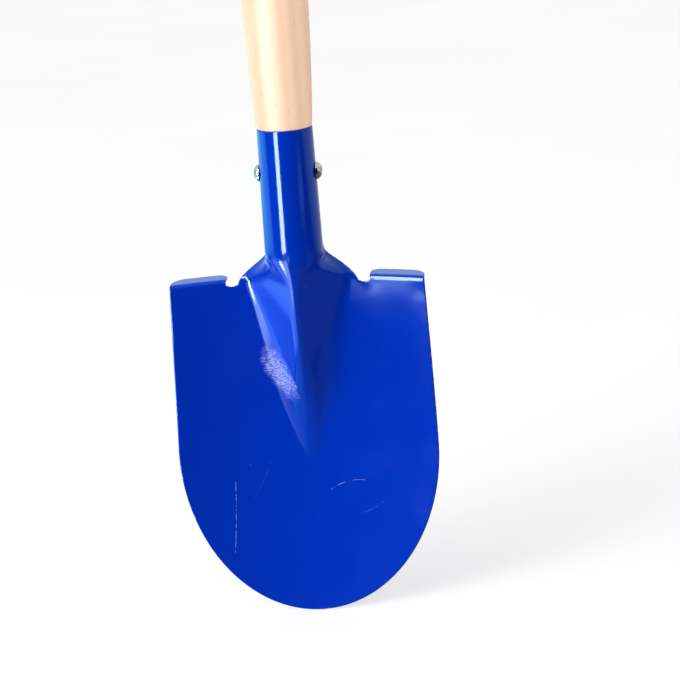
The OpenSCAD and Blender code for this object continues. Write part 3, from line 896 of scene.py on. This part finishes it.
def make_floor():
    made, tree, shader, place = new_material("floor")
    low, high = FLOOR_TONE - FLOOR_SPREAD, FLOOR_TONE + FLOOR_SPREAD
    tone = between(tree, noise(tree, place, 3.0, 2.0), 0.3, 0.7, low, high)
    shade = add(tree, "ShaderNodeCombineColor", {0: tone, 1: tone, 2: tone}).outputs[0]
    feed(tree, shader, {
        "Base Color": shade,
        "Roughness": 0.8,
        "Specular IOR Level": 0.0,
        "Emission Color": WHITE,
        "Emission Strength": maths(tree, "MULTIPLY", shown_white(tree), FLOOR_GLOW),
    })
    stage_panel("floor", [(x * FLOOR_HALF, y * FLOOR_HALF, 0) for x, y in SQUARE], made)


def make_dark_card():
    """The unlit end of the studio, seen in the gloss only."""
    made, tree, shader, place = new_material("dark_card")
    tone = between(tree, noise(tree, place, 5.0, 2.0), 0.3, 0.7, *DARK_TONES)
    shade = add(tree, "ShaderNodeCombineColor", {0: tone, 1: tone, 2: tone}).outputs[0]
    feed(tree, shader, {"Base Color": shade, "Roughness": 1.0, "Specular IOR Level": 0.0})
    upright_card("front_card", DARK_START, DARK_END, DARK_H, made)


def gloss_only(panel):
    panel.visible_camera = False
    panel.visible_diffuse = False
    panel.visible_shadow = False


def upright_card(name, start, end, height, material):
    low, high = [(*start, 0), (*end, 0)], [(*end, height), (*start, height)]
    gloss_only(stage_panel(name, low + high, material))


# Light that only the gloss of the object shows: a low curved wall close to the blade's
# left, pale in front and blue at its side, a few soft round glows, two dim cards behind
# and on the left, and weak light on the table. A pair of numbers is the range over which
# the glow rises from nothing, or falls back to it.
WALL_R, WALL_PANELS = 0.13, 40
WALL_FRONT, WALL_FRONT_SOFT = math.radians(-20.5), math.radians(5)
WALL_BACK, WALL_BACK_SOFT = math.radians(-92), math.radians(8)
WALL_TURN, WALL_TURN_SOFT = math.radians(-63), math.radians(8)
WALL_COLOUR, WALL_FAINT, WALL_LOW, WALL_BAND = (1.0, 0.68, 1.0, 1.0), 0.9, 3.2, 11.0
WALL_SIDE_COLOUR, WALL_SIDE_LEVEL = (0.16, 0.28, 1.0, 1.0), 9.5
WALL_FOOT, WALL_RISE, WALL_STEP, WALL_TOP = (0.012, 0.03), (0.03, 0.05), (0.062, 0.08), (0.114, 0.102)

# Round glows: middle, half-width, half-height, tilt, brightness, fade and colour
GLOWS = [
    ((0.9, -0.62, 0.002), 0.3, 0.25, 0, 0.7, 0.5, WHITE),
    ((-0.057, -0.05, 0.125), 0.015, 0.0095, 90, 95.0, 0.5, (1.0, 0.72, 0.8, 1.0)),
    ((-0.037, -0.125, 0.113), 0.014, 0.014, 90, 5.0, 0.8, (1.0, 0.8, 1.0, 1.0)),
]

# Dim cards: name, start, end and height
SIDE_CARDS = [
    ("left_card", (-2, -0.4), (-2, 2), 0.5),
    ("back_card", (0.6, 3.5), (5, 3.5), 0.6),
]
SIDE_LEVEL, SIDE_TINT = 0.45, (0.75, 0.9, 1.0, 1.0)

TABLE_CORNERS = [(-3, -3, 0.001), (5, -3, 0.001), (5, 3.5, 0.001), (-3, 3.5, 0.001)]
TABLE_FAR_LEFT, TABLE_LEFT, TABLE_CLOSE_LEFT = 1.9, 0.8, 1.5
LEFT_EDGE, LEFT_FAR, LEFT_FRONT = (0.01, -0.06), (-0.45, -0.8), (-0.25, -0.1)
CLOSE_LEFT_X, CLOSE_LEFT_SPAN = -0.28, (0.22, 0.12)
TABLE_RIGHT, TABLE_FAR_RIGHT, RIGHT_NEAR, RIGHT_FAR = 0.62, 0.25, (0.25, 0.75), (1.4, 2.4)
TABLE_NEAR, NEAR_SPAN, NEAR_SIDE, NEAR_SIDE_SPAN = 0.2, (0.3, 0.2), (0.0, 0.08), (0.75, 0.5)
LEFT_TINT, TINT_SPAN = (0.36, 1.0, 1.0, 1.0), (-0.1, 0.1)


def glow_material(name):
    made = bpy.data.materials.new(name)
    made.use_nodes = True
    tree = made.node_tree
    tree.nodes.clear()
    made.cycles.emission_sampling = "NONE"
    return made, tree, tree.nodes.new("ShaderNodeTexCoord").outputs["Object"]


def show_glow(tree, share, level, colour):
    """A glow that is clear where its share is zero."""
    glow = add(tree, "ShaderNodeEmission", {"Color": colour, "Strength": level})
    clear = add(tree, "ShaderNodeBsdfTransparent")
    mixed = add(tree, "ShaderNodeMixShader", {0: share, 1: clear.outputs[0], 2: glow.outputs[0]})
    output = add(tree, "ShaderNodeOutputMaterial")
    tree.links.new(mixed.outputs[0], output.inputs["Surface"])


def length_of(tree, vector):
    return add(tree, "ShaderNodeVectorMath", {0: vector}, operation="LENGTH").outputs["Value"]


def make_glows():
    for n, (middle, half_x, half_y, tilt, bright, fade, colour) in enumerate(GLOWS):
        made, tree, place = glow_material(f"glow_{n}")
        far = length_of(tree, stretched(tree, place, (1 / half_x, 1 / half_y, 1)))
        show_glow(tree, between(tree, far, 1.0, 1.0 - fade), bright, colour)
        card = stage_panel(f"glow_{n}", [(a * half_x, b * half_y, 0) for a, b in SQUARE], made)
        card.location = middle
        card.rotation_euler[0] = math.radians(tilt)
        gloss_only(card)


def make_side_cards():
    """Low dim cards on the left and at the back, for the gloss that looks along the table."""
    made, tree, place = glow_material("side_card")
    share = between(tree, noise(tree, place, 2.0, 2.0), 0.2, 0.4, 0.9, 1.0)
    show_glow(tree, share, SIDE_LEVEL, SIDE_TINT)
    for name, start, end, height in SIDE_CARDS:
        upright_card(name, start, end, height, made)


def make_wall():
    made, tree, place = glow_material("glow_wall")
    xyz = add(tree, "ShaderNodeSeparateXYZ", {0: place}).outputs
    z = xyz["Z"]
    azimuth = maths(tree, "ARCTAN2", xyz["X"], maths(tree, "MULTIPLY", xyz["Y"], -1.0))
    share = between(tree, azimuth, WALL_FRONT, WALL_FRONT - WALL_FRONT_SOFT)
    share = maths(tree, "MULTIPLY", share, between(tree, azimuth, WALL_BACK, WALL_BACK + WALL_BACK_SOFT))
    share = maths(tree, "MULTIPLY", share, between(tree, z, *WALL_FOOT))
    share = maths(tree, "MULTIPLY", share, between(tree, z, *WALL_TOP))
    level = between(tree, z, *WALL_RISE, WALL_FAINT, WALL_LOW)
    level = maths(tree, "ADD", level, between(tree, z, *WALL_STEP, 0.0, WALL_BAND - WALL_LOW))
    turn = between(tree, azimuth, WALL_TURN + WALL_TURN_SOFT, WALL_TURN)
    side = between(tree, z, *WALL_RISE, 0.0, WALL_SIDE_LEVEL)
    level = maths(tree, "MULTIPLY_ADD", turn, maths(tree, "SUBTRACT", side, level), level)
    show_glow(tree, share, level, blend_colour(tree, turn, WALL_COLOUR, WALL_SIDE_COLOUR))
    turns = np.linspace(WALL_FRONT, WALL_BACK, WALL_PANELS + 1)
    arc = [(WALL_R * math.sin(a), -WALL_R * math.cos(a)) for a in turns]
    corners = [(*point, height) for height in (WALL_FOOT[0], WALL_TOP[0]) for point in arc]
    faces = [(n, n + 1, n + WALL_PANELS + 2, n + WALL_PANELS + 1) for n in range(WALL_PANELS)]
    gloss_only(stage_panel("glow_wall", corners, made, faces))


def make_gloss_table():
    """The table as the gloss shows it: bright on the left, weaker behind on the right, dark in front."""
    made, tree, place = glow_material("gloss_table")
    xyz = add(tree, "ShaderNodeSeparateXYZ", {0: place}).outputs
    x, y = xyz["X"], xyz["Y"]
    left = between(tree, x, *LEFT_EDGE)
    left = maths(tree, "MULTIPLY", left, between(tree, x, *LEFT_FAR, TABLE_LEFT, TABLE_FAR_LEFT))
    off = maths(tree, "ABSOLUTE", maths(tree, "SUBTRACT", x, CLOSE_LEFT_X))
    left = maths(tree, "MAXIMUM", left, between(tree, off, *CLOSE_LEFT_SPAN, 0.0, TABLE_CLOSE_LEFT))
    left = maths(tree, "MULTIPLY", left, between(tree, y, *LEFT_FRONT))
    slant = maths(tree, "MULTIPLY_ADD", x, 0.5, y)
    back = between(tree, slant, *RIGHT_NEAR, 0.0, TABLE_RIGHT)
    far_share = TABLE_FAR_RIGHT / TABLE_RIGHT
    back = maths(tree, "MULTIPLY", back, between(tree, slant, *RIGHT_FAR, 1.0, far_share))
    away = length_of(tree, place)
    close = between(tree, away, *NEAR_SPAN, 0.0, TABLE_NEAR)
    side = between(tree, maths(tree, "MULTIPLY_ADD", y, 1.2, x), *NEAR_SIDE)
    side = maths(tree, "MULTIPLY", side, between(tree, away, *NEAR_SIDE_SPAN, 0.0, TABLE_NEAR))
    total = maths(tree, "MAXIMUM", left, back)
    total = maths(tree, "MAXIMUM", total, maths(tree, "MAXIMUM", close, side))
    tint = blend_colour(tree, between(tree, x, *TINT_SPAN), LEFT_TINT, WHITE)
    glow = add(tree, "ShaderNodeEmission", {"Color": tint, "Strength": total})
    output = add(tree, "ShaderNodeOutputMaterial")
    tree.links.new(glow.outputs[0], output.inputs["Surface"])
    gloss_only(stage_panel("gloss_table", TABLE_CORNERS, made))


def make_world():
    world = bpy.data.worlds.new("studio")
    bpy.context.scene.world = world
    world.use_nodes = True
    tree = world.node_tree
    strength = maths(tree, "MULTIPLY_ADD", shown_white(tree), 1.0 - AMBIENT, AMBIENT)
    glossy = add(tree, "ShaderNodeLightPath").outputs["Is Glossy Ray"]
    tint = blend_colour(tree, glossy, WHITE, GLOSS_SKY)
    feed(tree, tree.nodes["Background"], {"Color": tint, "Strength": strength})


def aimed_light(name, kind, place, target):
    data = bpy.data.lights.new(name, kind)
    light = bpy.data.objects.new(name, data)
    bpy.context.scene.collection.objects.link(light)
    aim = Vector(target) - Vector(place)
    turn = aim.to_track_quat("-Z", "Y").to_matrix().to_4x4()
    light.matrix_world = Matrix.Translation(Vector(place)) @ turn
    light.visible_camera = False
    return light, data


def gloss_light(name, place, target, width, height, radiance, colour):
    """A rectangle of a given brightness that shows in the gloss and lights nothing else."""
    light, data = aimed_light(name, "AREA", place, target)
    data.shape = "RECTANGLE"
    data.size, data.size_y = width, height
    data.energy = radiance * math.pi * width * height
    data.color = colour
    light.visible_diffuse = False


def sun_light(name, azimuth, elevation, level, softness):
    """A soft sun that lights a facing white surface to the given level."""
    place = around(azimuth, 1.0, math.tan(math.radians(elevation)))
    light, data = aimed_light(name, "SUN", place, (0, 0, 0))
    data.energy = level * math.pi
    data.angle = math.radians(softness)
    light.visible_glossy = False


def around(azimuth, distance, height):
    """A place round the object: azimuth 0 is in front of it and 90 on its right."""
    a = math.radians(azimuth)
    return (distance * math.sin(a), -distance * math.cos(a), height)


def make_lights(wooden):
    sun_light("sun", SUN_AZIMUTH, SUN_ELEVATION, SUN_LEVEL, SUN_SOFTNESS)
    key, data = aimed_light("key", "AREA", KEY_PLACE, KEY_TARGET)
    data.shape = "DISK"
    data.size = KEY_SIZE
    data.energy = KEY_POWER
    key.visible_glossy = False
    gloss_light("strip", *STRIP)
    fill, data = aimed_light("wood_fill", "AREA", FILL_PLACE, FILL_TARGET)
    data.size = FILL_SIZE
    data.energy = FILL_POWER
    fill.visible_glossy = False
    fill.light_linking.receiver_collection = wooden
    gloss_light("back", *BACK_LIGHT)


make_camera()
make_world()
make_floor()
make_dark_card()
make_wall()
make_gloss_table()
make_side_cards()
make_glows()
paint = paint_material()
shaft_wood = wood_material("shaft_wood", "Z", srgb(*SHAFT_PALE), srgb(*SHAFT_DARK))
grip_wood = wood_material("grip_wood", "X", srgb(*GRIP_PALE), srgb(*GRIP_DARK), 0.05)
dowel_wood = wood_material("dowel_wood", "Y", srgb(*DOWEL_PALE), srgb(*DOWEL_DARK), 0.02)
place_piece(make_head(), "shovel_head", paint)
shaft, grip, dowel = make_shaft(), make_grip(), make_dowel()
place_piece(shaft, "handle_shaft", shaft_wood)
place_piece(grip, "grip_bar", grip_wood)
place_piece(dowel, "grip_dowel", dowel_wood)
wooden = bpy.data.collections.new("wooden")
for piece in (shaft, grip, dowel):
    wooden.objects.link(piece)
make_lights(wooden)
place_piece(make_rivet(), "cross_rivet", metal_material())

bpy.context.scene.view_settings.view_transform = "Standard"
